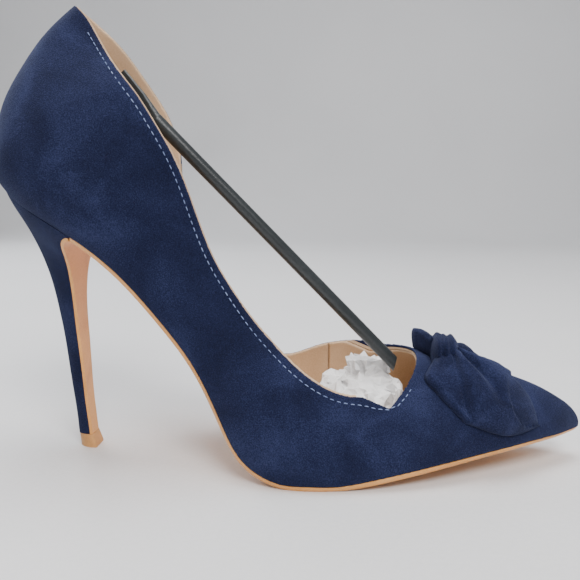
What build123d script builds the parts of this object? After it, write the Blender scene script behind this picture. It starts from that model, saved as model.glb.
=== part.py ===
"""High heel pump, right shoe, half d'Orsay cut, with a bow, a shape keeper and a tissue wad.

The frame stands on the ground: X runs from the heel to the toe, +Y is the inner (medial) side
of the foot, +Z is up, and the origin is the middle of the heel tip's face. Millimetres.
The shoe is designed for a foot of EU size 38. Its outlines are drawn at that size and scaled by
three driving sizes; wall thicknesses, clearances and fasteners keep their own values.
"""

import math
import os

from build123d import *

# %% Driving sizes
shoe_length = 227.0  # back of the counter to the tip of the toe
shoe_height = 172.5  # ground to the top of the counter
ball_width = 74.0  # widest part of the tread

upper_thickness = 1.2  # faux suede
interlining_thickness = 0.8  # counter, toe puff and side interlining
lining_thickness = 0.8
glue = 0.1  # cement between two layers
board_gap = 0.35  # bottom layers and grip stand this much clear of the lining
insole_thickness = 1.8
underlay_thickness = 1.5  # shank board and foam
sock_thickness = 0.8
sole_thickness = 2.2  # edge of the outsole in the forefoot
waist_sole_thickness = 1.8  # edge of the outsole in the arch
flap_thickness = 1.2  # outsole skived to cover the breast of the heel
cover_thickness = 0.8  # suede around the heel block
lasting_margin = 13.0  # upper turned in under the insole
top_lift_height = 5.5
dowel_radius = 1.7
dowel_bore = 1.1
pin_radius = 1.05
shank_width = 10.0
shank_thickness = 1.0
rivet_radius = 1.5
screw_radius = 2.0
screw_length = 19.0
nail_radius = 0.9
nail_length = 11.0
keeper_radius = 2.5
keeper_clearance = 0.5
bow_gap = 0.15

# The outlines below are drawn for this size of shoe.
DRAWN_LENGTH = 227.0
DRAWN_HEIGHT = 172.5
DRAWN_WIDTH = 74.0
kx = shoe_length / DRAWN_LENGTH
kz = shoe_height / DRAWN_HEIGHT
ky = ball_width / DRAWN_WIDTH


def side(points):
    """Side view outline points (x, z) brought to the size of this shoe."""
    return [(x * kx, z * kz) for x, z in points]


# %% Side view outlines
# Feather line: bottom of the upper, from the toe back over the arch to the end of the seat.
feather_line = side([
    (206, 12.6), (191, 12.3), (179, 11.9), (163, 10.5), (143, 8.4), (125, 5.8), (111, 3.4),
    (102, 2.15), (92, 2.1), (84, 2.2), (77, 4.1), (71.4, 7.2), (66.8, 11.6), (62, 19.2),
    (56, 30.6), (47.9, 44.1), (38.2, 56.5), (29.2, 67.3), (20.5, 76.6), (12, 83.8),
    (4.9, 88.4), (-5.9, 94.7), (-15.1, 99.7), (-27, 105.9), (-35, 110.1),
])
WAIST_START = 12  # the point of the feather line where the sole is at its waist thickness
SEAT_START = 20  # the first point of the feather line on the seat
breast_line = side([
    (2.3, 86.6), (0.9, 85.1), (0.1, 82.4), (-0.4, 79.2), (-0.8, 73), (-0.9, 64.5), (-0.7, 55.1),
    (-0.2, 45.6), (0.4, 33.6), (1.0, 20.9), (1.7, 12.0), (2.2, top_lift_height / kz),
])
topline_outer = side([
    (2.6, 173.2), (7.8, 169.7), (14.8, 159.9), (23.4, 148.6), (31.6, 138.8), (37.2, 130),
    (42, 121.3), (46.4, 110.8), (49.9, 100.4), (53.5, 89.9), (58.1, 79.4), (64.4, 69.1),
    (71.7, 58.8), (79.6, 49.4), (89.5, 40.5), (98.4, 35), (108.3, 31.7), (117.2, 32.4),
    (125.3, 35.9), (131, 38.7), (133.1, 39.9),
])
topline_inner = side([
    (2.6, 173.2), (10.8, 165.6), (16.8, 159.2), (22.1, 150.8), (26.8, 142.6), (29.9, 137.3),
    (33.4, 129.4), (35.6, 121.8), (36.4, 112), (35.8, 100), (33.6, 91), (33.4, 87.6),
    (37.5, 85), (45, 77.6), (51, 68), (57, 58), (62.5, 47.5), (68, 38.5), (74, 33),
    (80.9, 32.2), (94.3, 36.8), (101.6, 38.8), (115.9, 40.7),
])
# Throat of the vamp, seen from above (x, y), from the outer to the inner side.
throat_line = [
    (121.6, -24.2), (125.3, -20), (131, -10), (133.1, 0), (132.6, 8), (129.2, 15), (124, 20.5),
    (115.9, 25.5),
]

# %% The foot shape (last)
# Each station is a section of the shoe's outer surface in a plane that holds the Y direction.
# Forward of the ball the planes are upright; behind it they fan around a pivot over the foot,
# until they lie flat at the top of the counter.
# at: where the plane meets the feather line or the back of the counter (x, z)
# ext: how far the section goes on below it, where the seat or the sole cuts it off
# outer, inner: half widths at full width; deep: height where full width is reached
# square: how boxy the bottom is; tall: height of the closed section; full: how full its top is
# ridge: how far the top leans to the inner side; turn: 1 where the surface faces the toe
pivot = (82 * kx, 165 * kz)
STATIONS = [
    # at x, z, ext, outer, inner, deep, square, tall, full, ridge, turn
    (10.0, 178.5, 0.0, 7.0, 7.0, 9, 2.0, 46, 8.0, 0, 0),
    (2.9, 172.8, 0.0, 8.4, 8.4, 10, 2.0, 54, 8.0, 0, 0),
    (-4.0, 167.2, 0.0, 9.8, 9.8, 12, 2.0, 62, 8.0, 0, 0),
    (-11.2, 160.0, 0.0, 11.6, 11.4, 14, 2.0, 72, 7.0, 0, 0),
    (-18.6, 149.7, 0.0, 15.0, 14.6, 17, 2.0, 82, 6.0, 0, 0),
    (-24.4, 139.3, 0.0, 18.8, 18.0, 19, 2.0, 90, 5.0, 0, 0),
    (-27.8, 128.0, 0.0, 22.4, 21.4, 20, 2.0, 96, 4.6, 0, 0),
    (-29.3, 117.0, 0.0, 25.0, 24.0, 20, 2.0, 100, 4.2, 0, 0),
    (-28.6, 109.0, 0.0, 26.2, 25.2, 20, 2.0, 102, 3.8, 0, 0),
    (-25.4, 105.1, 0.5, 26.8, 25.8, 20, 2.0, 102, 3.5, 0, 0),
    (-15.1, 99.7, 5.0, 27.2, 26.2, 20, 2.0, 98, 3.2, 0, 0),
    (-3.0, 93.2, 7.4, 27.2, 26.0, 19, 2.0, 94, 3.0, 0, 0),
    (8.0, 86.8, 9.4, 26.6, 25.4, 19, 2.1, 88, 2.8, 0, 0),
    (20.5, 76.6, 10.0, 25.2, 24.0, 18, 2.2, 82, 2.6, 1, 0),
    (34.0, 61.6, 10.0, 24.0, 22.5, 17, 2.3, 76, 2.6, 2, 0),
    (47.9, 44.1, 10.0, 25.0, 23.0, 15, 2.4, 72, 2.6, 3, 0),
    (59.6, 24.0, 10.0, 29.6, 26.6, 13, 2.5, 68, 2.6, 4, 0),
    (68.6, 9.8, 9.0, 34.6, 30.6, 12, 2.6, 66, 2.6, 5, 0),
    (82.0, 2.4, 8.0, 37.6, 34.8, 11, 2.6, 60, 2.6, 6, 0),
    (97.0, 2.2, 8.0, 38.2, 36.8, 10, 2.6, 53, 2.5, 7, 0),
    (112.0, 3.5, 8.0, 36.8, 36.2, 10, 2.6, 45, 2.3, 8, 0),
    (127.0, 6.1, 8.0, 33.6, 33.2, 10, 2.6, 37, 2.2, 8, 0),
    (143.0, 8.4, 7.0, 28.2, 28.0, 9, 2.6, 30.5, 2.1, 6, 0),
    (158.0, 10.1, 6.0, 21.6, 22.6, 8, 2.5, 26, 2.1, 4, 0.04),
    (171.0, 11.2, 5.0, 15.6, 18.0, 7, 2.4, 21.4, 2.1, 2, 0.12),
    (182.0, 12.0, 4.0, 9.8, 14.0, 6, 2.3, 16.4, 2.1, 1, 0.25),
    (190.0, 12.3, 3.2, 4.4, 10.6, 5, 2.2, 11.6, 2.1, 0, 0.45),
    (194.6, 12.4, 2.4, 0.4, 8.4, 4, 2.1, 8.0, 2.1, 0, 0.66),
    (197.2, 12.5, 1.4, -2.0, 6.4, 2.4, 2.0, 4.6, 2.0, 0, 0.88),
    (198.0, 12.6, 0.4, -3.0, 5.0, 1.2, 2.0, 2.6, 2.0, 0, 0.96),
]
ROUND_STEPS = (22, 48, 70, 90)  # degrees around the rounded bottom of a section
NOSE_TURN = 0.2  # sections turned further than this are the rounded nose of the toe
UPPER_STEPS = (0.38, 0.56, 0.72, 0.86, 0.955)  # shares of the section's height


def station_plane(row):
    """Feather point and inward direction of a station, in side view."""
    x, z = row[0] * kx, row[1] * kz
    if x >= pivot[0] - 0.01:
        return (x, z), (0.0, 1.0)
    reach = math.hypot(pivot[0] - x, pivot[1] - z)
    return (x, z), ((pivot[0] - x) / reach, (pivot[1] - z) / reach)


def half_width(row, height, which):
    """Half width of a station's section at a height over its lowest point."""
    _, _, ext, outer, inner, deep, square, tall, full, ridge, _ = row
    middle = (inner - outer) / 2
    half = (inner + outer) / 2
    whole = ext + tall
    low = min(height / deep, 1.0)
    high = min(height / whole, 1.0)
    bottom = (1 - (1 - low) ** square) ** (1 / square)
    top = math.sqrt(max(0.0, 1 - high ** full))
    centre = middle + ridge * high ** 2
    return (centre + which * half * bottom * top) * ky


def section_points(row, inset):
    """Points (across, up) around a section, moved inwards by inset."""
    ext, deep, tall = row[2], row[5], row[7]
    whole = ext + tall
    start = deep / whole
    heights = [deep * (1 - math.cos(math.radians(a))) for a in ROUND_STEPS]
    heights += [whole * (start + (1 - start) * (s - 0.2) / 0.8) for s in UPPER_STEPS]
    one_side = [(half_width(row, h, 1), h) for h in heights]
    other_side = [(half_width(row, h, -1), h) for h in reversed(heights)]
    bottom = (half_width(row, 0, 1), 0.0)
    top = (half_width(row, whole, 1), whole)
    ring = [bottom] + one_side + [top] + other_side
    depth = inset * math.sqrt(1 - row[10] ** 2)
    if row[10] > NOSE_TURN:
        return shrink_ring(ring, depth)
    return inset_ring(ring, depth)


def shrink_ring(ring, inset):
    """A closed ring scaled towards its middle until its sides have moved in by inset."""
    widths = [a for a, b in ring]
    heights = [b for a, b in ring]
    mid_a, half_a = (max(widths) + min(widths)) / 2, (max(widths) - min(widths)) / 2
    mid_b, half_b = (max(heights) + min(heights)) / 2, (max(heights) - min(heights)) / 2
    return [(mid_a + (a - mid_a) * (1 - inset / half_a), mid_b + (b - mid_b) * (1 - inset / half_b))
            for a, b in ring]


def inset_ring(ring, inset):
    """A closed ring of points moved to its inside along the local normals."""
    moved = []
    count = len(ring)
    for i, (a, b) in enumerate(ring):
        before = ring[i - 1]
        after = ring[(i + 1) % count]
        ta, tb = after[0] - before[0], after[1] - before[1]
        size = math.hypot(ta, tb)
        moved.append((a - inset * tb / size, b + inset * ta / size))
    return moved


def foot_form(inset, stations=STATIONS):
    """The solid inside the shoe's outer surface, a wall's depth further in with each inset."""
    sections = []
    for row in stations:
        (x, z), (dx, dz) = station_plane(row)
        base_x = x - row[2] * dx - inset * row[10]
        base_z = z - row[2] * dz
        ring = [Vector(base_x + up * dx, side_way, base_z + up * dz)
                for side_way, up in section_points(row, inset)]
        half = len(ring) // 2
        inner_side = Edge.make_spline(ring[: half + 1])
        outer_side = Edge.make_spline(ring[half:] + ring[:1])
        sections.append(Face(Wire([inner_side, outer_side])))
    with BuildPart() as form:
        loft(sections=sections)
    return form.part


# %% Cutters that every layer shares
WIDE = 70.0 * ky  # half width of a cutter, past the widest part
HIGH = 230.0 * kz
DEEP = -40.0


def level(lift, waist_change=0.0):
    """The feather line moved inwards (up) by lift along its normals, and more from the waist on."""
    line = []
    last = len(feather_line) - 1
    for i, (x, z) in enumerate(feather_line):
        x0, z0 = feather_line[max(i - 1, 0)]
        x1, z1 = feather_line[min(i + 1, last)]
        size = math.hypot(x1 - x0, z1 - z0)
        move = lift + (waist_change if i >= WAIST_START else 0.0)
        line.append((x + move * (z1 - z0) / size, z - move * (x1 - x0) / size))
    return line


def across(lines, y_from=-WIDE, y_to=WIDE):
    """A side view outline, given as lists of points (x, z), run across from y_from to y_to."""
    with BuildPart() as region:
        with BuildSketch(Plane.XZ.offset(-y_from)):
            with BuildLine():
                for points in lines:
                    if len(points) > 2:
                        Spline(*points)
                    else:
                        Line(*points)
            make_face()
        extrude(amount=y_from - y_to)
    return region.part


def slab(low, high, start=0, stop=None):
    """A full-width layer that follows the feather line between two of its levels."""
    lower = low[start:stop]
    upper = high[start:stop]
    return across([lower, upper, [lower[0], upper[0]], [lower[-1], upper[-1]]])


def over(lift):
    """Everything over one level of the feather line."""
    line = level(lift)
    front, back = (line[0][0], HIGH), (line[-1][0], HIGH)
    return across([line, [line[-1], back], [back, front], [front, line[0]]])


def box_between(x_from, x_to):
    """A full-width block between two upright planes."""
    with BuildPart() as block:
        with BuildSketch(Plane.XY.offset(DEEP)):
            with Locations(((x_from + x_to) / 2, 0)):
                Rectangle(x_to - x_from, 2 * WIDE)
        extrude(amount=HIGH - DEEP)
    return block.part


def above_topline(points, y_from, y_to):
    """Everything above one side's topline."""
    first, last = points[0], points[-1]
    corner, far_corner, back = (last[0], HIGH), (-60 * kx, HIGH), (-60 * kx, first[1])
    return across(
        [points, [last, corner], [corner, far_corner], [far_corner, back], [back, first]],
        y_from,
        y_to,
    )


with BuildPart() as foot_opening:
    outline = [(x * kx, y * ky) for x, y in throat_line]
    behind = 12 * kx
    with BuildSketch(Plane.XY.offset(24 * kz)):
        with BuildLine():
            Spline(*outline)
            Polyline(
                outline[-1],
                (outline[-1][0] - behind, outline[-1][1]),
                (outline[0][0] - behind, outline[0][1]),
                outline[0],
            )
        make_face()
    extrude(amount=60)
    add(above_topline(topline_outer, -WIDE, 0.0))
    add(above_topline(topline_inner, 0.0, WIDE))

# %% Depths of the layers, measured in from the outer surface and up from the feather line
INTERLINING_DEPTH = upper_thickness + glue
LINING_DEPTH = INTERLINING_DEPTH + interlining_thickness + glue
INSIDE_DEPTH = LINING_DEPTH + lining_thickness
BOARD_DEPTH = INSIDE_DEPTH + board_gap
INSOLE_LIFT = upper_thickness + glue
UNDERLAY_LIFT = INSOLE_LIFT + insole_thickness + glue
SOCK_LIFT = UNDERLAY_LIFT + underlay_thickness + glue
FLOOR_LIFT = SOCK_LIFT + sock_thickness

outer_form = foot_form(0.0)
upper_inside = foot_form(upper_thickness)
interlining_outside = foot_form(INTERLINING_DEPTH)
interlining_inside = foot_form(INTERLINING_DEPTH + interlining_thickness)
lining_outside = foot_form(LINING_DEPTH)
lining_inside = foot_form(INSIDE_DEPTH)
SEAT_STATION = 10  # the first station whose plane crosses the seat
COUNTER_STATIONS = STATIONS[2:12]
inner_stations = [
    (*row[:3], row[3] - lasting_margin, row[4] - lasting_margin, *row[5:7], row[7] / 2, *row[8:])
    for row in STATIONS[SEAT_STATION:]
    if (row[3] + row[4]) / 2 > lasting_margin + 3
]
margin_form = foot_form(0.0, inner_stations)

finished = []


def finish(part, name):
    """Name a finished piece and keep it for the export."""
    part.label = name
    finished.append(part)


# %% Upper: one faux suede cutting, lasted under the insole all round
with BuildPart() as upper_hollow:
    add(upper_inside)
    add(over(upper_thickness), mode=Mode.INTERSECT)
with BuildPart() as upper_shell:
    add(outer_form)
    add(over(0.0), mode=Mode.INTERSECT)
    add(upper_hollow.part, mode=Mode.SUBTRACT)
    add(margin_form, mode=Mode.SUBTRACT)
    add(foot_opening.part, mode=Mode.SUBTRACT)
finish(upper_shell.part, "upper_shell")

# %% Interlinings and linings: layers inside the upper, standing on its turned-in margin
REAR = -60 * kx
FRONT = 220 * kx
COUNTER_END = 36 * kx
PUFF_START = 146 * kx
LINING_JOINT = 98 * kx
JOINT_GAP = 0.3


def layer(outside, inside, x_from, x_to, name):
    """One layer of the upper between two forms, from one upright plane to another."""
    with BuildPart() as cloth:
        add(outside)
        add(over(INSOLE_LIFT), mode=Mode.INTERSECT)
        add(box_between(x_from, x_to), mode=Mode.INTERSECT)
        add(inside, mode=Mode.SUBTRACT)
        add(foot_opening.part, mode=Mode.SUBTRACT)
    finish(cloth.part, name)


layer(interlining_outside, interlining_inside, REAR, COUNTER_END, "heel_counter")
layer(interlining_outside, interlining_inside, COUNTER_END + JOINT_GAP, PUFF_START - JOINT_GAP,
      "side_interlining")
layer(interlining_outside, interlining_inside, PUFF_START, FRONT, "toe_puff")
layer(lining_outside, lining_inside, REAR, LINING_JOINT, "quarter_lining")
layer(lining_outside, lining_inside, LINING_JOINT + JOINT_GAP, FRONT, "vamp_lining")

# %% Bottom: insole, shank, underlays, sock, filler and outsole, all along the feather line
BOARD_SPLIT = 78 * kx  # shank board behind, foam in front
insole_form = foot_form(BOARD_DEPTH, STATIONS[:-2])
grip_outside = foot_form(BOARD_DEPTH, COUNTER_STATIONS)
grip_inside = foot_form(BOARD_DEPTH + lining_thickness, COUNTER_STATIONS)
GRIP_FRONT = -4 * kx
GRIP_BOTTOM = 112 * kz
GRIP_TOP = 163 * kz


def bottom_layer(form, low, high, x_from=REAR, x_to=FRONT):
    """A layer of the bottom: the part of a form between two lifts over the feather line."""
    with BuildPart() as board:
        add(form)
        add(slab(level(low), level(high)), mode=Mode.INTERSECT)
        if x_from > REAR or x_to < FRONT:
            add(box_between(x_from, x_to), mode=Mode.INTERSECT)
    return board.part


def seat_frame(x, across_seat, lift):
    """A plane on the seat or the arch, with +Z into the shoe, at a lift over the feather line."""
    line = level(lift)
    i = next(k for k in range(len(line) - 1) if line[k + 1][0] <= x <= line[k][0])
    (x0, z0), (x1, z1) = line[i], line[i + 1]
    share = (x - x0) / (x1 - x0)
    size = math.hypot(x1 - x0, z1 - z0)
    normal = ((z1 - z0) / size, 0, -(x1 - x0) / size)
    return Plane(origin=(x, across_seat, z0 + share * (z1 - z0)), x_dir=(0, 1, 0), z_dir=normal)


def fastener(plane, radius, low, high, head_radius=0.0, head_height=0.0):
    """A round shank along a plane's normal, with a head on top when it has one."""
    with BuildPart() as pin:
        with BuildSketch(plane.offset(low)):
            Circle(radius)
        extrude(amount=high - low)
        if head_height:
            with BuildSketch(plane.offset(high)):
                Circle(head_radius)
            extrude(amount=head_height)
    return pin.part


hole_clearance = 0.05
rivet_places = [56 * kx, 24 * kx]
nail_places = [(-2.5 * kx, 9 * ky), (-2.5 * kx, -9 * ky), (-11 * kx, 4.5 * ky),
               (-11 * kx, -4.5 * ky)]
screw_place = -2.5 * kx
screw_head_radius = 3.4
screw_head_height = 1.2
nail_head_radius = 1.7
nail_head_height = 0.7

rivets = [fastener(seat_frame(x, 0, 0), rivet_radius, glue, UNDERLAY_LIFT - glue)
          for x in rivet_places]
rivet_holes = [fastener(seat_frame(x, 0, 0), rivet_radius + hole_clearance, -1, UNDERLAY_LIFT)
               for x in rivet_places]
heel_screw = fastener(seat_frame(screw_place, 0, 0), screw_radius, UNDERLAY_LIFT - screw_length,
                      UNDERLAY_LIFT, screw_head_radius, screw_head_height)
heel_nails = [fastener(seat_frame(x, y, 0), nail_radius, UNDERLAY_LIFT - nail_length,
                       UNDERLAY_LIFT, nail_head_radius, nail_head_height)
              for x, y in nail_places]
seat_holes = [fastener(seat_frame(screw_place, 0, 0), screw_radius + hole_clearance,
                       UNDERLAY_LIFT - screw_length - glue, UNDERLAY_LIFT - hole_clearance,
                       screw_head_radius + hole_clearance, 6)]
seat_holes += [fastener(seat_frame(x, y, 0), nail_radius + hole_clearance,
                        UNDERLAY_LIFT - nail_length - glue, UNDERLAY_LIFT - hole_clearance,
                        nail_head_radius + hole_clearance, 6)
               for x, y in nail_places]

with BuildPart() as insole_board:
    add(bottom_layer(insole_form, INSOLE_LIFT, INSOLE_LIFT + insole_thickness))
    add(rivet_holes + seat_holes, mode=Mode.SUBTRACT)
finish(insole_board.part, "insole_board")

with BuildPart() as shank_board:
    add(bottom_layer(insole_form, UNDERLAY_LIFT, UNDERLAY_LIFT + underlay_thickness,
                     REAR, BOARD_SPLIT))
    add(seat_holes, mode=Mode.SUBTRACT)
finish(shank_board.part, "shank_board")

finish(bottom_layer(insole_form, UNDERLAY_LIFT, UNDERLAY_LIFT + underlay_thickness,
                    BOARD_SPLIT + JOINT_GAP, FRONT), "forefoot_foam")
finish(bottom_layer(insole_form, SOCK_LIFT, FLOOR_LIFT), "sock_lining")

SHANK_REAR = -6 * kx
SHANK_FRONT = 76 * kx
with BuildPart() as steel_shank:
    add(slab(level(glue), level(glue + shank_thickness)))
    with BuildSketch(Plane.XY.offset(DEEP)):
        with Locations(((SHANK_REAR + SHANK_FRONT) / 2, 0)):
            SlotOverall(SHANK_FRONT - SHANK_REAR, shank_width)
    extrude(amount=HIGH - DEEP, mode=Mode.INTERSECT)
    add(rivet_holes + seat_holes, mode=Mode.SUBTRACT)
finish(steel_shank.part, "steel_shank")

with BuildPart() as shank_rivets:
    add(rivets)
finish(shank_rivets.part, "shank_rivets")

filler_gap = 0.4
filler_stations = [(*row[:3], row[3] - filler_gap, row[4] - filler_gap, *row[5:])
                   for row in inner_stations]
finish(bottom_layer(foot_form(0.0, filler_stations), glue, glue + shank_thickness,
                    SHANK_FRONT + 1.0, FRONT), "bottom_filler")

sole_bottom = level(-sole_thickness, sole_thickness - waist_sole_thickness)
SEAT_END = SEAT_START + 1
with BuildPart() as outsole:
    add(foot_form(0.3))
    add(slab(sole_bottom, level(-glue), 0, SEAT_END), mode=Mode.INTERSECT)
    with BuildSketch(Plane.XY):
        with Locations((93 * kx, 0)):
            Rectangle(80 * kx, 2 * WIDE)
    extrude(amount=-5, mode=Mode.SUBTRACT)
finish(outsole.part, "outsole")

# %% Heel: plastic block, suede cover, breast flap, dowel and top lift
# Each section of the heel: a point on the breast, a point on the back (x, z), half width at the
# breast, and how full the sides stay towards the back.
HEEL_SECTIONS = [
    (2.2, 5.5, -4.5, 5.5, 3.5, 2.4),
    (1.6, 13.0, -5.0, 13.5, 3.45, 2.4),
    (1.0, 20.9, -5.9, 22.5, 3.6, 2.4),
    (0.4, 33.6, -7.2, 35.0, 4.1, 2.3),
    (-0.2, 45.6, -8.4, 47.0, 4.9, 2.2),
    (-0.7, 55.1, -10.0, 57.5, 5.4, 2.1),
    (-0.9, 64.5, -12.2, 69.0, 6.5, 2.1),
    (-0.8, 73.0, -15.4, 79.6, 9.0, 2.0),
    (-0.3, 79.6, -20.3, 91.5, 13.4, 2.0),
    (1.6, 84.8, -24.9, 100.6, 19.0, 2.0),
    (5.0, 88.7, -27.4, 106.1, 22.6, 2.0),
]
BREAST_REACH = 2.0  # the sections run on in front of the breast, which trims them
SIDE_SHARES = (0.25, 0.5, 0.75, 0.92)
HEEL_TOP = 4.0  # the block's loft runs on over the seat, which trims it


def heel_form(inset):
    """The heel's solid, from the top lift to over the seat, its back and sides in by inset."""
    sections = []
    rows = HEEL_SECTIONS + [(8.0, 94.5, -28.5, 111.5, 24.0, 2.0)]
    for x0, z0, x1, z1, half, full in rows:
        front = Vector(x0 * kx, 0, z0 * kz)
        back = Vector(x1 * kx, 0, z1 * kz)
        run = back - front
        along = run.normalized()
        depth = run.length - inset
        breadth = half * ky - inset
        one_side = []
        for share in SIDE_SHARES:
            reach = breadth * (1 - share ** full) ** (1 / full)
            one_side.append(front + along * (depth * share) + Vector(0, reach, 0))
        corner = front + Vector(0, breadth, 0)
        nose = corner - along * BREAST_REACH
        other = [Vector(p.X, -p.Y, p.Z) for p in reversed(one_side)]
        end = front + along * depth
        mirrored = Vector(nose.X, -nose.Y, nose.Z)
        rear_outer = [Vector(corner.X, -corner.Y, corner.Z)]
        curve = Edge.make_spline([corner] + one_side + [end] + other + rear_outer,
                                 tangents=[along, along * -1])
        sections.append(Face(Wire([
            Edge.make_line(mirrored, nose),
            Edge.make_line(nose, corner),
            curve,
            Edge.make_line(rear_outer[0], mirrored),
        ])))
    with BuildPart() as form:
        loft(sections=sections)
    return form.part


def shifted(points, move):
    """A side view outline moved by a distance along its own normals, towards the heel's back."""
    line = []
    last = len(points) - 1
    for i, (x, z) in enumerate(points):
        x0, z0 = points[max(i - 1, 0)]
        x1, z1 = points[min(i + 1, last)]
        size = math.hypot(x1 - x0, z1 - z0)
        line.append((x + move * (z1 - z0) / size, z - move * (x1 - x0) / size))
    return line


flap_front = [sole_bottom[SEAT_START]] + breast_line
flap_back = shifted(flap_front, flap_thickness)
block_front = shifted(flap_front, flap_thickness + glue)


def behind(line):
    """Everything from a breast outline back, up to the seat and down to the top lift."""
    top = level(-glue)[SEAT_START:]
    bottom = line[-1]
    corner = (REAR, bottom[1])
    return across([line, [line[0], top[0]], top, [top[-1], (REAR, top[-1][1])],
                   [(REAR, top[-1][1]), corner], [corner, bottom]])


heel_outside = heel_form(0.0)
cover_inside = heel_form(cover_thickness)
block_form = heel_form(cover_thickness + glue)
with BuildPart() as heel_breast_flap:
    add(heel_outside)
    add(slab(flap_front, flap_back), mode=Mode.INTERSECT)
finish(heel_breast_flap.part, "heel_breast_flap")

with BuildPart() as heel_cover:
    add(heel_outside)
    add(behind(block_front), mode=Mode.INTERSECT)
    add(cover_inside, mode=Mode.SUBTRACT)
finish(heel_cover.part, "heel_cover")

stem_foot = (-1.25 * kx, top_lift_height)
stem_head = (-6.6 * kx, 68.0 * kz)
stem_lean = (stem_head[0] - stem_foot[0], 0, stem_head[1] - stem_foot[1])
stem = Plane(origin=(stem_foot[0], 0, stem_foot[1]), x_dir=(0, 1, 0), z_dir=stem_lean)
dowel_length = math.hypot(stem_lean[0], stem_lean[2])
pin_depth = 3.5
pin_reach = 10.0

with BuildPart() as heel_block:
    add(block_form)
    add(behind(block_front), mode=Mode.INTERSECT)
    with BuildSketch(stem.offset(-2)):
        Circle(dowel_radius)
    extrude(amount=dowel_length + 2, mode=Mode.SUBTRACT)
    add(seat_holes, mode=Mode.SUBTRACT)
finish(heel_block.part, "heel_block")

with BuildPart() as heel_dowel:
    with BuildSketch(stem.offset(0.3)):
        Circle(dowel_radius)
        Circle(dowel_bore, mode=Mode.SUBTRACT)
    extrude(amount=dowel_length - 0.3)
finish(heel_dowel.part, "heel_dowel")
with BuildPart() as heel_screw_part:
    add(heel_screw)
finish(heel_screw_part.part, "heel_screw")
with BuildPart() as nail_group:
    add(heel_nails)
finish(nail_group.part, "heel_nails")

with BuildPart() as top_lift_pin:
    with BuildSketch(stem.offset(-pin_depth)):
        Circle(pin_radius)
    extrude(amount=pin_depth + pin_reach)
finish(top_lift_pin.part, "top_lift_pin")


def lift_outline(front, rear, half):
    """D-shaped outline of the top lift: a flat breast side and a round back."""
    with BuildLine() as line:
        Line((front, half), (front, -half))
        Spline((front, -half), (rear + (front - rear) * 0.45, -half * 0.94), (rear, 0),
               (rear + (front - rear) * 0.45, half * 0.94), (front, half))
    return line.line


with BuildPart() as top_lift:
    for height, front, rear, half in (
        (0.0, 3.9 * kx, -4.0 * kx, 3.95 * ky),
        (0.9, 3.8 * kx, -4.0 * kx, 3.9 * ky),
        (top_lift_height - 0.05, 2.35 * kx, -4.5 * kx, 3.5 * ky),
    ):
        with BuildSketch(Plane.XY.offset(height)):
            add(lift_outline(front, rear, half))
            make_face()
    loft(ruled=True)
    with BuildSketch(stem.offset(-pin_depth)):
        Circle(pin_radius)
    extrude(amount=pin_depth + 2, mode=Mode.SUBTRACT)
finish(top_lift.part, "top_lift")

# %% Heel grip: a strip of lining glued inside the counter
with BuildPart() as heel_grip:
    add(grip_outside)
    add(across([[(REAR, GRIP_BOTTOM), (GRIP_FRONT, GRIP_BOTTOM)],
                [(GRIP_FRONT, GRIP_BOTTOM), (GRIP_FRONT, GRIP_TOP)],
                [(GRIP_FRONT, GRIP_TOP), (REAR, GRIP_TOP)],
                [(REAR, GRIP_TOP), (REAR, GRIP_BOTTOM)]]), mode=Mode.INTERSECT)
    add(grip_inside, mode=Mode.SUBTRACT)
    add(foot_opening.part, mode=Mode.SUBTRACT)
finish(heel_grip.part, "heel_grip")

# %% Bow: two folded loops and a knot, sewn flat on the vamp
VAMP_STATIONS = STATIONS[18:28]
loop_thickness = 5.0
knot_thickness = 8.5
bow_parting = 3.0 * ky  # between the two loops, over the ridge of the vamp
bow_base = foot_form(-bow_gap, VAMP_STATIONS)
bow_cloth = foot_form(-bow_gap - loop_thickness, VAMP_STATIONS)
knot_cloth = foot_form(-bow_gap - knot_thickness, VAMP_STATIONS)
knot_box = [(138.6, 30), (149.6, 30), (149.6, 56), (138.6, 56)]
knot_half = 8.0 * ky
knot_middle = 1.0 * ky
loop_gap = 0.15
outer_loop_line = side([
    (141, 46), (140.6, 36), (142, 28.5), (148.5, 21), (156, 17.4), (167, 15), (177, 15.4),
    (178.4, 20), (175.4, 26.5), (170.5, 33), (163, 40), (154, 47), (146, 49),
])
inner_loop_line = side([
    (131, 49), (134, 41), (139, 32), (147, 24), (158, 19.5), (168, 18.6), (173, 21),
    (174, 26.5), (170, 33), (163, 40), (154, 47), (146, 50), (137, 51),
])


def closed_run(points):
    """A closed smooth outline as a list of curves for a side view region."""
    half = len(points) // 2
    return [points[: half + 1], points[half:] + points[:1]]


def knot_region(margin):
    """Block that bounds the knot, grown by a margin."""
    (x0, z0), (x1, _), (_, z1), _ = side(knot_box)
    x0, x1, z0, z1 = x0 - margin, x1 + margin, z0 - margin, z1 + margin
    return across([[(x0, z0), (x1, z0)], [(x1, z0), (x1, z1)], [(x1, z1), (x0, z1)],
                   [(x0, z1), (x0, z0)]],
                  knot_middle - knot_half - margin, knot_middle + knot_half + margin)


def bow_loop(line, y_from, y_to, name):
    """One loop of the bow: a pad of folded cloth that follows the vamp."""
    with BuildPart() as loop:
        add(bow_cloth)
        add(across(closed_run(line), y_from, y_to), mode=Mode.INTERSECT)
        add(bow_base, mode=Mode.SUBTRACT)
        add(knot_region(loop_gap), mode=Mode.SUBTRACT)
    finish(loop.part, name)


bow_loop(outer_loop_line, -WIDE, bow_parting - loop_gap / 2, "bow_loop_outer")
bow_loop(inner_loop_line, bow_parting + loop_gap / 2, WIDE, "bow_loop_inner")
with BuildPart() as bow_knot:
    add(knot_cloth)
    add(knot_region(0.0), mode=Mode.INTERSECT)
    add(bow_base, mode=Mode.SUBTRACT)
    fillet(bow_knot.faces().sort_by(Axis.Z)[-1].edges(), radius=2.5)
finish(bow_knot.part, "bow_knot")

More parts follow.
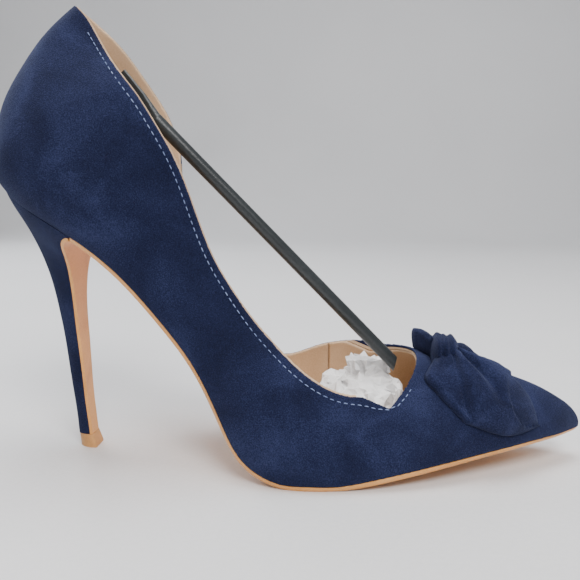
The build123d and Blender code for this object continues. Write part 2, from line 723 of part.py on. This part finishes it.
# %% Shape keeper: a plastic rod from inside the counter to the throat, flattened at the heel
keeper_top = Vector(35.6 * kx, -13.0 * ky, 130.7 * kz)
keeper_foot = Vector(126.6 * kx, 0, 35.6 * kz)
blade_tip = Vector(21.4 * kx, -8.6 * ky, 146.8 * kz)
blade_width = 6.0
blade_height = 1.6
keeper_axis = (keeper_foot - keeper_top).normalized()
blade_axis = (blade_tip - keeper_top).normalized()
with BuildPart() as shape_keeper:
    with BuildSketch(Plane(origin=keeper_top, x_dir=(0, 1, 0), z_dir=keeper_axis)):
        Circle(keeper_radius)
    extrude(amount=(keeper_foot - keeper_top).length)
    for share, wide, thin in ((-0.1, 4.2, 4.2), (0.45, blade_width, 2.2), (1.0, blade_width, blade_height)):
        place = keeper_top + (blade_tip - keeper_top) * share
        with BuildSketch(Plane(origin=place, x_dir=(0, 1, 0), z_dir=blade_axis)):
            RectangleRounded(thin, wide, thin * 0.4)
    loft(ruled=True)
    split(bisect_by=Plane(origin=keeper_foot - keeper_axis * 2.5, z_dir=(0.97, 0, -0.25)),
          keep=Keep.BOTTOM)
finish(shape_keeper.part, "shape_keeper")

# %% Tissue wad: crumpled paper in the throat, under and beside the keeper's foot
wad_low = 14.0 * kz
wad_outline = [(99, -19), (110, -22), (119, -19), (125.5, -11), (128.4, -2), (125.4, 3.4),
               (120, 12), (110, 18), (100, 16), (96, 0)]
wad_crest = [(106, 4), (124.4, 4), (119, 12), (108, 16)]
with BuildPart() as tissue_wad:
    for height, share in ((wad_low, 0.86), (wad_low + 7 * kz, 1.0), (30.5 * kz, 0.93)):
        with BuildSketch(Plane.XY.offset(height)):
            with BuildLine():
                Spline(*[((112 + (x - 112) * share) * kx, y * share * ky)
                         for x, y in wad_outline], periodic=True)
            make_face()
    loft()
    with BuildSketch(Plane.XY.offset(26 * kz)):
        with BuildLine():
            Polyline(*[(x * kx, y * ky) for x, y in wad_crest], close=True)
        make_face()
    extrude(amount=11 * kz)
finish(tissue_wad.part, "tissue_wad")

# %% Export
os.makedirs("parts", exist_ok=True)
for piece in finished:
    export_step(piece, f"parts/{piece.label}.step")
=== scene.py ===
# %% [markdown]
# # A pointed high heel pump with a bow
# The shoe is a suede upper pulled over boards and a stiff insole, a covered stiletto heel, a thin
# sole, and a soft bow. A springy rod and a wad of tissue keep its shape in the box. The rigid
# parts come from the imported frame. The soft ones are made again here, in metres, on top of it.

# %% Load the frame
import math

import bmesh
import bpy
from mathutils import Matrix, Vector, noise
from mathutils.bvhtree import BVHTree


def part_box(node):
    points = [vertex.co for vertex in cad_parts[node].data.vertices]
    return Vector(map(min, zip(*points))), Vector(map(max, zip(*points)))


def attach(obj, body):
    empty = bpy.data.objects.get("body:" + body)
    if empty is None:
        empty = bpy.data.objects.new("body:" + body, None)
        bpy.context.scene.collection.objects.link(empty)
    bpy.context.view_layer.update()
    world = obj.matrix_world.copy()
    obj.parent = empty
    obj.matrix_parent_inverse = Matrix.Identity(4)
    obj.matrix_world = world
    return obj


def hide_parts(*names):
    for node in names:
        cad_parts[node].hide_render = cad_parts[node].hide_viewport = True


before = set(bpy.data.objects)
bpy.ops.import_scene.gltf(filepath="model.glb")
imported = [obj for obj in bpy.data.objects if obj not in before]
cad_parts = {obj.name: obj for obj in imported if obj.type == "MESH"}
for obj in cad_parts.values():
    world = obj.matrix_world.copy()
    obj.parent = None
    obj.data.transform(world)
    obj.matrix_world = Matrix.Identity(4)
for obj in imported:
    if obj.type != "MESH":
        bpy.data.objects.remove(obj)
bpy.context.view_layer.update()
MM = 0.001

# %% [markdown]
# ## Finishes
# Every finish is a small node graph. Fine noise gives the nap or the grain, and wide noise shifts
# the tone from place to place, because no hide or paper is even. An alternative is one flat
# colour, which looks like plastic. Sheen carries the soft bright rim that a nap shows.

# %% A helper that makes a finish
def finish_of(name, tones, fine, wide, rough, bump, sheen=0.0, sheen_tint=(1, 1, 1), gloss=0.5,
              spread=0.17, evenness=0.5):
    """tones: dark, middle and light colour; fine and wide: sizes of the two noises in metres.

    A smaller spread gives more contrast, and a smaller evenness more of the fine noise.
    """
    material = bpy.data.materials.new(name)
    material.use_nodes = True
    nodes, links = material.node_tree.nodes, material.node_tree.links
    shader = nodes["Principled BSDF"]
    place = nodes.new("ShaderNodeTexCoord")
    grain = nodes.new("ShaderNodeTexNoise")
    grain.inputs["Scale"].default_value = 1 / fine
    grain.inputs["Detail"].default_value = 6
    grain.inputs["Roughness"].default_value = 0.7
    patch = nodes.new("ShaderNodeTexNoise")
    patch.inputs["Scale"].default_value = 1 / wide
    patch.inputs["Detail"].default_value = 4
    patch.inputs["Distortion"].default_value = 0.8
    both = nodes.new("ShaderNodeMix")
    both.inputs["Factor"].default_value = evenness
    links.new(place.outputs["Object"], grain.inputs["Vector"])
    links.new(place.outputs["Object"], patch.inputs["Vector"])
    links.new(grain.outputs["Fac"], both.inputs["A"])
    links.new(patch.outputs["Fac"], both.inputs["B"])
    ramp = nodes.new("ShaderNodeValToRGB")
    ramp.color_ramp.elements[0].position = 0.51 - spread
    ramp.color_ramp.elements[0].color = (*tones[0], 1)
    ramp.color_ramp.elements[1].position = 0.51 + spread
    ramp.color_ramp.elements[1].color = (*tones[2], 1)
    middle = ramp.color_ramp.elements.new(0.5)
    middle.color = (*tones[1], 1)
    links.new(both.outputs["Result"], ramp.inputs["Fac"])
    links.new(ramp.outputs["Color"], shader.inputs["Base Color"])
    relief = nodes.new("ShaderNodeBump")
    relief.inputs["Strength"].default_value = bump
    relief.inputs["Distance"].default_value = fine
    links.new(grain.outputs["Fac"], relief.inputs["Height"])
    links.new(relief.outputs["Normal"], shader.inputs["Normal"])
    shader.inputs["Roughness"].default_value = rough
    shader.inputs["Specular IOR Level"].default_value = gloss
    shader.inputs["Sheen Weight"].default_value = sheen
    shader.inputs["Sheen Roughness"].default_value = 0.45
    shader.inputs["Sheen Tint"].default_value = (*sheen_tint, 1)
    return material


# %% The finishes of this shoe
SUEDE_TONES = ((0.0055, 0.0075, 0.024), (0.0115, 0.0155, 0.047), (0.030, 0.039, 0.100))
finishes = {
    "suede": finish_of("navy_suede", SUEDE_TONES, 0.00045, 0.026, 0.95, 0.9, 0.12,
                       (0.50, 0.58, 0.95), 0.12, 0.12, 0.40),
    "bow_suede": finish_of("bow_suede_cloth", SUEDE_TONES, 0.00050, 0.014, 0.95, 0.9, 0.12,
                           (0.50, 0.58, 0.95), 0.12, 0.12, 0.40),
    "lining": finish_of("beige_lining", ((0.55, 0.37, 0.22), (0.66, 0.46, 0.29),
                        (0.74, 0.54, 0.36)), 0.0006, 0.03, 0.6, 0.25),
    "sock": finish_of("beige_sock", ((0.60, 0.42, 0.26), (0.70, 0.51, 0.33),
                      (0.78, 0.59, 0.40)), 0.0005, 0.03, 0.55, 0.2),
    "grip": finish_of("cream_grip", ((0.62, 0.50, 0.36), (0.72, 0.60, 0.45),
                      (0.80, 0.69, 0.54)), 0.0009, 0.02, 0.8, 0.5, 0.15),
    "sole": finish_of("tan_sole", ((0.62, 0.26, 0.065), (0.76, 0.35, 0.095),
                      (0.84, 0.43, 0.14)), 0.0007, 0.02, 0.42, 0.15),
    "lift": finish_of("tan_top_lift", ((0.48, 0.22, 0.07), (0.58, 0.29, 0.10),
                      (0.66, 0.35, 0.14)), 0.0005, 0.01, 0.5, 0.2),
    "board": finish_of("fibre_board", ((0.46, 0.32, 0.20), (0.55, 0.39, 0.25),
                       (0.63, 0.46, 0.31)), 0.0008, 0.01, 0.9, 0.4),
    "interlining": finish_of("woven_interlining", ((0.50, 0.34, 0.21), (0.60, 0.42, 0.27),
                             (0.68, 0.50, 0.33)), 0.0006, 0.01, 0.9, 0.4),
    "foam": finish_of("grey_foam", ((0.32, 0.32, 0.30), (0.42, 0.42, 0.40),
                      (0.52, 0.52, 0.50)), 0.0008, 0.01, 0.95, 0.5),
    "steel": finish_of("sprung_steel", ((0.35, 0.36, 0.38), (0.42, 0.43, 0.45),
                       (0.50, 0.51, 0.53)), 0.0005, 0.02, 0.3, 0.1),
    "plastic": finish_of("heel_plastic", ((0.10, 0.09, 0.08), (0.14, 0.13, 0.12),
                         (0.18, 0.17, 0.15)), 0.0006, 0.02, 0.4, 0.1),
    "keeper": finish_of("black_rod_plastic", ((0.012, 0.015, 0.016), (0.020, 0.024, 0.026),
                        (0.034, 0.040, 0.043)), 0.0009, 0.02, 0.3, 0.12),
    "tissue": finish_of("white_tissue", ((0.72, 0.71, 0.70), (0.82, 0.81, 0.81),
                        (0.90, 0.90, 0.90)), 0.0010, 0.01, 0.75, 0.3),
    "thread": finish_of("pale_blue_thread", ((0.11, 0.15, 0.30), (0.19, 0.25, 0.44),
                        (0.30, 0.37, 0.58)), 0.0003, 0.01, 0.7, 0.4),
}
print(len(finishes), "finishes")


# %% [markdown]
# ## The frame's own parts
# Most rigid parts keep the shape the frame gives them, and take a finish from the list. The
# frame names a slot for each part, so one loop can hand them out.

# %% Hand a finish to every frame part
for node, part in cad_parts.items():
    for holder in part.material_slots:
        slot_name = holder.material.name.split(".")[0] if holder.material else "board"
        holder.material = finishes.get(slot_name, finishes["board"])
    for face in part.data.polygons:
        face.use_smooth = True
print(len(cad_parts), "frame parts finished")


# %% [markdown]
# ## Soft skins
# Suede and lining have no sharp corners: the top edge is a fold, and the surface gives a little.
# Each skin is a fine voxel copy of its frame part, smoothed and slightly uneven. Bevels on the
# frame part's own mesh could round the edge too, but wouldn't soften the whole surface.

# %% Work modifiers into a mesh
def settle(obj):
    """The object's mesh with its modifiers worked in."""
    graph = bpy.context.evaluated_depsgraph_get()
    mesh = bpy.data.meshes.new_from_object(obj.evaluated_get(graph))
    obj.modifiers.clear()
    obj.data = mesh


# %% Add a piece to the shoe
def add_piece(name, mesh, finish, body, replaced=()):
    obj = bpy.data.objects.new(name, mesh)
    bpy.context.scene.collection.objects.link(obj)
    mesh.materials.clear()
    mesh.materials.append(finishes[finish])
    for face in mesh.polygons:
        face.use_smooth = True
    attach(obj, body)
    if replaced:
        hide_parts(*replaced)
    return obj


# %% A soft skin from a frame part
def soft_skin(name, node, voxel, uneven, finish, body="shoe", rounds=5):
    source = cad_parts[node]
    copy = bpy.data.objects.new(name + "_work", source.data.copy())
    bpy.context.scene.collection.objects.link(copy)
    remesh = copy.modifiers.new("voxels", "REMESH")
    remesh.mode = "VOXEL"
    remesh.voxel_size = voxel
    smooth = copy.modifiers.new("smooth", "SMOOTH")
    smooth.factor = 0.5
    smooth.iterations = rounds
    clouds = bpy.data.textures.new(name + "_give", "CLOUDS")
    clouds.noise_scale = 0.018
    give = copy.modifiers.new("give", "DISPLACE")
    give.texture = clouds
    give.texture_coords = "LOCAL"
    give.strength = uneven
    give.mid_level = 0.5
    settle(copy)
    mesh = copy.data
    bpy.data.objects.remove(copy)
    obj = add_piece(name, mesh, finish, body, (node,))
    print(name, len(mesh.vertices), "points")
    return obj


# %% A tree for finding places on a surface
def tree_of(obj):
    verts = [obj.matrix_world @ v.co for v in obj.data.vertices]
    return BVHTree.FromPolygons(verts, [tuple(f.vertices) for f in obj.data.polygons])


# %% The suede upper and the linings
outer_tree = tree_of(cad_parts["upper_shell"])
upper = soft_skin("suede_upper", "upper_shell", 0.50 * MM, 0.20 * MM, "suede")
quarter = soft_skin("quarter_lining_leather", "quarter_lining", 0.45 * MM, 0.10 * MM,
                    "lining", rounds=3)
vamp = soft_skin("vamp_lining_leather", "vamp_lining", 0.45 * MM, 0.10 * MM, "lining",
                 rounds=3)
sock = soft_skin("padded_sock", "sock_lining", 0.45 * MM, 0.08 * MM, "sock", rounds=3)
grip = soft_skin("suede_heel_grip", "heel_grip", 0.45 * MM, 0.08 * MM, "grip", rounds=3)

# %% [markdown]
# ## Stitches
# One row of stitches holds the folded top edge, about 2 mm below it, on both sides of the foot.
# The row's line comes from the frame: rays find where the wall ends, seen from a point inside the
# opening, and the line runs a little outside that. Each stitch is a real thread end to end, sunk
# at both ends. A dashed texture would be lighter, but flat at the edge of the view.

# %% Find the top edge on one side
EYE = Vector((0.085, 0, 0.110))


def wall_point(x, z, side):
    """Where a level ray from one side meets the shoe's outer surface, if it does."""
    start = Vector((x, side * 0.2, z))
    place, normal, _, _ = outer_tree.ray_cast(start, Vector((0, -side, 0)))
    if place is None or place.y * side < 0.0005 or normal.y * side < 0.02:
        return None
    return place, normal


def edge_reach(angle, side):
    """How far the opening reaches from the eye in a direction, in metres."""
    direction = (math.cos(angle), math.sin(angle))
    step, reach = 0.001, 0.02
    while reach < 0.15:
        found = wall_point(EYE.x + reach * direction[0], EYE.z + reach * direction[1], side)
        if found:
            near, far = reach - step, reach
            for _ in range(6):
                half = (near + far) / 2
                if wall_point(EYE.x + half * direction[0], EYE.z + half * direction[1], side):
                    far = half
                else:
                    near = half
            return far
        reach += step
    return None


# %% The line of stitches, outside the edge
def stitch_line(side, first, last, below):
    outline = []
    for degree in range(first, last + 1, 2):
        angle = math.radians(degree)
        reach = edge_reach(angle, side)
        if reach:
            outline.append((EYE.x + reach * math.cos(angle), EYE.z + reach * math.sin(angle)))
    smooth = [outline[0]]
    for before, here, after in zip(outline, outline[1:], outline[2:]):
        smooth.append(((before[0] + 2 * here[0] + after[0]) / 4,
                       (before[1] + 2 * here[1] + after[1]) / 4))
    smooth.append(outline[-1])
    points = []
    for before, after in zip(smooth, smooth[1:]):
        centre = Vector(((before[0] + after[0]) / 2, (before[1] + after[1]) / 2))
        away = Vector((before[1] - after[1], after[0] - before[0])).normalized()
        if away.dot(centre - Vector((EYE.x, EYE.z))) < 0:
            away = -away
        spot = centre + below * away
        found = wall_point(spot.x, spot.y, side)
        if found:
            points.append(found)
    return points


# %% Even spacing
def at_pitch(points, pitch):
    """Places and normals at an even pitch along a row of points."""
    places, travelled = [], 0.0
    for (a, na), (b, nb) in zip(points, points[1:]):
        length = (b - a).length
        while travelled <= length and length > 0:
            share = travelled / length
            places.append((a.lerp(b, share), na.lerp(nb, share).normalized(),
                           (b - a).normalized()))
            travelled += pitch
        travelled -= length
    return places


# %% Lay thread along a line
def thread_mesh(name, rows, length, thick):
    mesh_parts = bmesh.new()
    sides, rings = 6, 5
    for place, normal, along in rows:
        across = normal.cross(along).normalized()
        loops = []
        for ring in range(rings):
            share = ring / (rings - 1)
            bulge = math.sin(math.pi * share)
            centre = (place + along * length * (share - 0.5)
                      + normal * thick * (0.75 * bulge - 0.35))
            radius = thick * (0.30 + 0.25 * bulge)
            loops.append([mesh_parts.verts.new(
                centre + radius * (math.cos(2 * math.pi * k / sides) * across
                                   + math.sin(2 * math.pi * k / sides) * normal))
                for k in range(sides)])
        for low, high in zip(loops, loops[1:]):
            for k in range(sides):
                mesh_parts.faces.new((low[k], low[(k + 1) % sides],
                                      high[(k + 1) % sides], high[k]))
        mesh_parts.faces.new(reversed(loops[0]))
        mesh_parts.faces.new(loops[-1])
    mesh = bpy.data.meshes.new(name)
    mesh_parts.to_mesh(mesh)
    mesh_parts.free()
    return mesh


# %% Stitch both sides
BELOW_EDGE = 2.2 * MM
PITCH, STITCH, THREAD = 2.6 * MM, 1.8 * MM, 0.36 * MM
for side, label, first, last in ((-1, "outer", 143, 302), (1, "inner", 143, 302)):
    row = at_pitch(stitch_line(side, first, last, BELOW_EDGE), PITCH)
    mesh = thread_mesh("stitches_" + label, row, STITCH, THREAD)
    add_piece("stitches_" + label, mesh, "thread", "shoe")
    print(label, "stitches", len(row))

# %% [markdown]
# ## The bow
# The bow is a strip of the same suede, gathered in the middle by a narrow band. Each loop fans out
# from the band with pleats, and lies on the toe. It is made as a grid on the toe's surface, from
# the band outwards, and lifted off it by a height that swells in the middle of the loop and drops
# into the pleats. A cloth simulation could do it, but wouldn't put the pleats in chosen places.

# %% A smooth curve through a few places
def curve_through(points, share):
    """A smooth curve through points, at a share of its length from 0 to 1."""
    spans = len(points) - 1
    at = min(share * spans, spans - 1e-6)
    k = int(at)
    t = at - k
    p0 = points[max(k - 1, 0)]
    p1, p2 = points[k], points[k + 1]
    p3 = points[min(k + 2, spans)]
    return 0.5 * (2 * p1 + (p2 - p0) * t + (2 * p0 - 5 * p1 + 4 * p2 - p3) * t * t
                  + (3 * p1 - p0 - 3 * p2 + p3) * t ** 3)


def millimetres(rows):
    return [Vector(row) * MM for row in rows]


# %% The grid of a loop
COLUMNS, ROWS = 72, 56
OFF_THE_TOE = 0.3 * MM
THINNEST = 0.5 * MM


def joined(name, points, faces):
    """A closed mesh with its doubled points joined and its faces turned outwards."""
    mesh = bpy.data.meshes.new(name)
    mesh.from_pydata([tuple(p) for p in points], [], faces)
    work = bmesh.new()
    work.from_mesh(mesh)
    bmesh.ops.remove_doubles(work, verts=work.verts, dist=0.00001)
    bmesh.ops.recalc_face_normals(work, faces=work.faces)
    work.to_mesh(mesh)
    work.free()
    return mesh


def loop_mesh(name, back, middle, front, lift, lean, creases):
    """back, middle and front: lines from the band outwards; lift(u, v) and lean give the height.

    Each crease has its place v at the band and at the end, its depth and width, the step down on
    its back side, and how far out it runs.
    """
    top, under = [], []
    for i in range(ROWS + 1):
        u = i / ROWS
        line = [curve_through(back, u), curve_through(middle, u), curve_through(front, u)]
        for j in range(COLUMNS + 1):
            v = j / COLUMNS
            foot = curve_through(line, v)
            place, normal, _, _ = outer_tree.find_nearest(foot)
            if normal.z < 0:
                normal = -normal
            way = (normal + lean).normalized()
            edge = math.sqrt(max(0.0, 1 - abs(2 * v - 1) ** 5)) * math.sqrt(1 - u ** 9)
            height = lift(u, v)
            for start, end, depth, width, step, reach in creases:
                centre = start + (end - start) * u
                fade = min(1.0, 3 * u + 0.35) * max(0.0, min(1.0, (reach - u) / 0.25))
                height -= depth * fade * math.exp(-((v - centre) / width) ** 2)
                height -= step * fade / (1 + math.exp(min(60, max(-60, (v - centre) / 0.012))))
            height += 1.0 * MM * math.exp(-((v - 0.07) / 0.05) ** 2) * min(1.0, 2 * u)
            height += 0.35 * MM * math.sin(34 * v + 3 * u) * math.exp(-3.5 * u)
            height += 0.45 * MM * noise.noise(Vector((u * 4, v * 5, 1.7)))
            base = foot.lerp(place, 0.9) + normal * OFF_THE_TOE
            under.append(base)
            top.append(base + way * max(height, THINNEST) * edge)
    wide = COLUMNS + 1
    count = len(top)
    faces = []
    for i in range(ROWS):
        for j in range(COLUMNS):
            a = i * wide + j
            faces.append((a, a + 1, a + wide + 1, a + wide))
            faces.append((count + a, count + a + wide, count + a + wide + 1, count + a + 1))
    rim = ([j for j in range(COLUMNS)] + [i * wide + COLUMNS for i in range(ROWS)]
           + [ROWS * wide + j for j in range(COLUMNS, 0, -1)]
           + [i * wide for i in range(ROWS, 0, -1)])
    for a, b in zip(rim, rim[1:] + rim[:1]):
        faces.append((b, a, count + a, count + b))
    return joined(name, top + under, faces)


# %% The loop on the outer side
def outer_lift(u, v):
    near_band = 4.6 * (1 - u) ** 0.8
    swell = 3.4 * math.sin(math.pi * min(1.0, 0.12 + 0.88 * u)) ** 0.8
    ridge = 0.80 + 0.45 * v
    return MM * (2.2 + (near_band + swell) * ridge * (0.75 + 0.25 * math.sin(math.pi * v)))


outer_back = millimetres([(139.5, -2.5, 39), (135.2, -11.5, 35), (139.5, -16, 30.5),
                          (144.5, -18.8, 25.5), (149.2, -20.4, 21)])
outer_middle = millimetres([(144.5, -3, 40), (148, -9, 37), (154, -12, 31), (160, -15.5, 23),
                            (165.5, -17, 15.3)])
outer_front = millimetres([(149, -2.5, 40), (157, -2.5, 38), (166, -2, 33), (174, -5.0, 26),
                           (179.0, -9.8, 17)])
mesh = loop_mesh("bow_outer", outer_back, outer_middle, outer_front, outer_lift,
                 Vector((0, 0, 0)),
                 [(0.56, 0.08, 1.4 * MM, 0.030, 2.9 * MM, 0.95),
                  (0.68, 0.52, 2.2 * MM, 0.050, 0.0, 0.72),
                  (0.86, 0.80, 0.9 * MM, 0.030, 0.0, 0.45)])
bow_outer = add_piece("bow_outer_loop_cloth", mesh, "bow_suede", "shoe",
                      ("bow_loop_outer",))


# %% [markdown]
# The inner loop stands up more than the outer one, because nothing presses on it: it leans back
# over the throat. The same grid makes it, with a taller lift that leans backwards.

# %% The loop on the inner side
def inner_lift(u, v):
    rise = math.sin(math.pi * min(1.0, 0.15 + 0.85 * u)) ** 0.7
    return MM * (2.2 + 3.5 * (1 - u) + 7.6 * rise * (1 - 0.78 * v))


inner_back = millimetres([(140, 2.5, 39.5), (133.5, 9, 41.5), (133.5, 15, 40), (137, 22, 34),
                          (143, 27, 25)])
inner_middle = millimetres([(144.5, 3, 40), (147, 8.5, 38.5), (150, 14, 34), (154, 20, 27),
                            (158, 24, 19)])
inner_front = millimetres([(149, 2.5, 40), (156, 5, 37), (163, 8.5, 32), (168, 13, 25),
                           (170, 17, 18.5)])
mesh = loop_mesh("bow_inner", inner_back, inner_middle, inner_front, inner_lift,
                 Vector((-0.55, 0, 0.35)),
                 [(0.40, 0.20, 1.6 * MM, 0.040, 1.5 * MM, 0.9),
                  (0.70, 0.62, 1.8 * MM, 0.045, 0.0, 0.8)])
bow_inner = add_piece("bow_inner_loop_cloth", mesh, "bow_suede", "shoe",
                      ("bow_loop_inner",))

# %% [markdown]
# The band is a short strip wrapped round the middle of the bow. It is made as a rounded tube
# across the bow, wavy along its length where the strip gathers. A torus could stand in, but has
# no gathers and the wrong section.

# %% The band in the middle
low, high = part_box("bow_knot")
centre = (Vector(low) + Vector(high)) / 2
half = (Vector(high) - Vector(low)) / 2
around, along = 64, 40
points, faces = [], []
for i in range(along + 1):
    across = -1 + 2 * i / along
    waist = math.sqrt(max(0.0, 1 - abs(across) ** 6))
    for j in range(around):
        angle = 2 * math.pi * j / around
        fold = 1 + 0.05 * math.cos(11 * across + 0.5 * math.sin(angle))
        reach = waist * fold * (abs(math.cos(angle)) ** 3 + abs(math.sin(angle)) ** 3) ** (-1 / 3)
        points.append((centre.x + across * half.x * 0.95,
                       centre.y + half.y * reach * math.cos(angle),
                       centre.z + 0.8 * MM + half.z * reach * math.sin(angle)))
for i in range(along):
    for j in range(around):
        a, b = i * around + j, i * around + (j + 1) % around
        faces.append((a, b, b + around, a + around))
mesh = joined("bow_band", points, faces)
band = add_piece("bow_band_cloth", mesh, "bow_suede", "shoe", ("bow_knot",))
print("bow made")

# %% [markdown]
# ## Tissue
# A sheet of tissue is crushed into a wad behind the toe. Crushed paper is made of small flat
# facets between sharp creases. The wad starts as a fine copy of the frame's wad, is roughened by
# ridged noise, and is then thinned to few triangles, which gives the flat facets.

# %% Crush the tissue
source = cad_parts["tissue_wad"]
work = bpy.data.objects.new("wad_work", source.data.copy())
bpy.context.scene.collection.objects.link(work)
remesh = work.modifiers.new("voxels", "REMESH")
remesh.mode = "VOXEL"
remesh.voxel_size = 0.9 * MM
settle(work)
mesh = work.data
bpy.data.objects.remove(work)
for vertex in mesh.vertices:
    spot = vertex.co / (9 * MM)
    ridge = abs(noise.noise(spot)) + 0.5 * abs(noise.noise(spot * 2.3 + Vector((3, 1, 7))))
    vertex.co += vertex.normal * (2.2 * MM - 6.5 * MM * ridge)
wad = add_piece("tissue_paper_wad", mesh, "tissue", "tissue", ("tissue_wad",))
thin = wad.modifiers.new("facets", "DECIMATE")
thin.ratio = 0.16
settle(wad)
for face in wad.data.polygons:
    face.use_smooth = False
print("wad", len(wad.data.polygons), "facets")

# %% [markdown]
# ## Floor, light and camera
# A plain pale floor runs back into a plain backdrop. One wide soft lamp from the front left lights
# the outer side, another from above lights the bow and the toe, and a weak one from behind draws
# the heel's edge.

# %% Floor
floor_mesh = bpy.data.meshes.new("floor")
reach, back, rise, bend = 3.0, 1.2, 2.2, 0.35
profile = [(-3.0, 0.0), (back - bend, 0.0)]
profile += [(back - bend + bend * math.sin(math.radians(a)), bend - bend * math.cos(math.radians(a)))
            for a in range(10, 90, 10)]
profile += [(back, bend), (back, rise)]
points = [(x, y, z) for y, z in profile for x in (-reach, reach)]
faces = [(2 * k, 2 * k + 1, 2 * k + 3, 2 * k + 2) for k in range(len(profile) - 1)]
floor_mesh.from_pydata(points, [], faces)
floor = bpy.data.objects.new("floor", floor_mesh)
bpy.context.scene.collection.objects.link(floor)
floor_mesh.materials.append(finish_of("pale_floor", ((0.70, 0.70, 0.71), (0.74, 0.74, 0.75),
                                                     (0.77, 0.77, 0.78)), 0.002, 0.3, 0.6, 0.02))
for face in floor_mesh.polygons:
    face.use_smooth = True


# %% [markdown]
# Lamps are wide, so that shadows have soft edges and the nap shows no hard highlights. A pale
# world fills the dark side. Sun lamps would be simpler, but their shadows are too sharp.

# %% Light
def lamp(name, place, target, size, power, colour):
    data = bpy.data.lights.new(name, "AREA")
    data.size = size
    data.energy = power
    data.color = colour
    obj = bpy.data.objects.new(name, data)
    obj.location = place
    obj.rotation_euler = (Vector(target) - Vector(place)).to_track_quat("-Z", "Y").to_euler()
    bpy.context.scene.collection.objects.link(obj)


middle = (0.08, 0.0, 0.08)
lamp("key", (0.35, -0.65, 0.85), middle, 0.45, 11.0, (1.0, 0.98, 0.96))
lamp("top", (0.10, 0.10, 0.9), middle, 0.5, 7.0, (1.0, 1.0, 1.0))
lamp("back", (-0.5, 0.6, 0.5), middle, 0.5, 4.0, (0.92, 0.95, 1.0))
world = bpy.data.worlds.new("studio")
world.use_nodes = True
world.node_tree.nodes["Background"].inputs["Color"].default_value = (0.86, 0.88, 0.92, 1)
world.node_tree.nodes["Background"].inputs["Strength"].default_value = 0.45
bpy.context.scene.world = world

# %% [markdown]
# The camera stands a little above the heel and a quarter metre away, turned slightly towards the
# heel, so the nearer outer side shows in full and the opening shows its lining.

# %% Camera
PICTURE_WIDTH, FOCAL_WIDTHS = 580, 680
lens = bpy.data.cameras.new("camera")
lens.sensor_width = 36.0
lens.lens = lens.sensor_width * FOCAL_WIDTHS / PICTURE_WIDTH
camera = bpy.data.objects.new("camera", lens)
camera.location = (0.1045, -0.262, 0.1117)
camera.rotation_euler = (math.radians(90 - 9.8), 0, math.radians(4.6))
lens.clip_start = 0.01
bpy.context.scene.collection.objects.link(camera)
bpy.context.scene.camera = camera
print("camera lens", round(lens.lens, 1))
